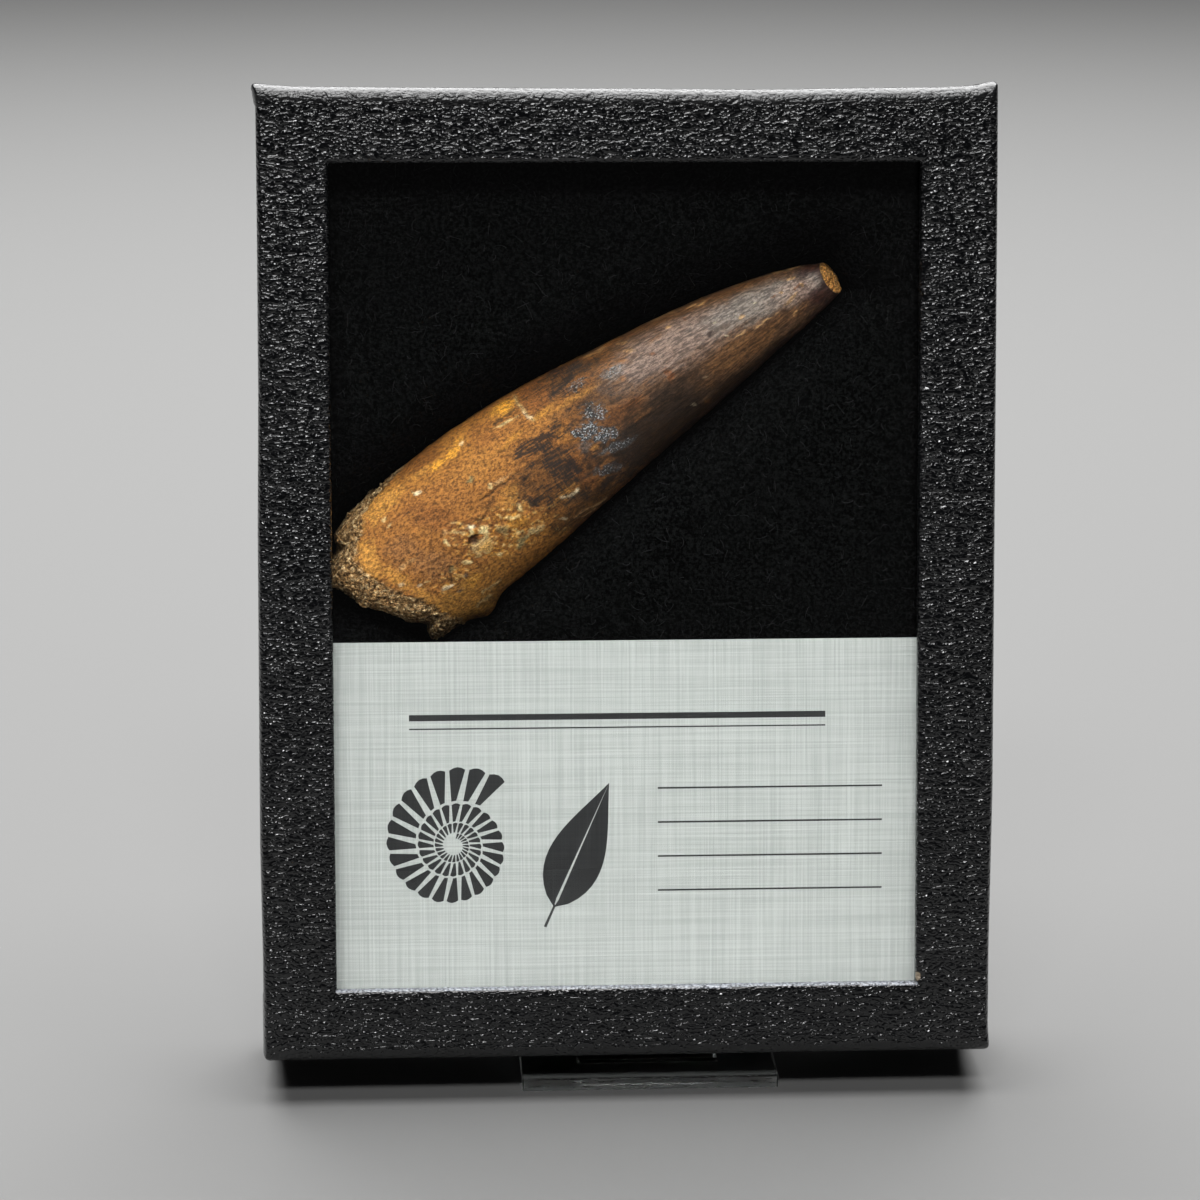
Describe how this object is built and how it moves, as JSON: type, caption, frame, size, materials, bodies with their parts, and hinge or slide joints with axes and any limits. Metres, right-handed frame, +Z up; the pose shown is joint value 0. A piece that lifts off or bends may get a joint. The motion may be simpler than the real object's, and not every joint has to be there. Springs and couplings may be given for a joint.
{
  "type": "spinosaurus tooth in a display box",
  "caption": "Fossil crown and root of a conical tooth on a dark pad behind glass, in a window box that leans on a clear bent easel.",
  "frame": {"origin": "on the surface that the easel stands on, under the middle of the object's box", "axes": "+Z up; the window faces -Y and leans back by 10 degrees; +X to the right, seen from the front"},
  "size_m": [0.0826, 0.0479, 0.1127],
  "materials": {
    "leatherette": "black embossed leather-grain paper, semi-gloss",
    "glass": "clear, polished",
    "tray_paper": "black paper over board, matt",
    "felt": "black felt over soft filling",
    "card": "linen-textured card, matt, printed in black",
    "tooth": "fossil enamel and root, satin crown, sandy breaks",
    "clear_plastic": "clear, polished faces and frosted sawn edges"
  },
  "bodies": {
    "root": {"lid": "leatherette", "glass": "glass", "tray": "tray_paper", "padding": "felt", "label_card": "card", "tooth": "tooth", "stand": "clear_plastic"}
  },
  "joints": []
}
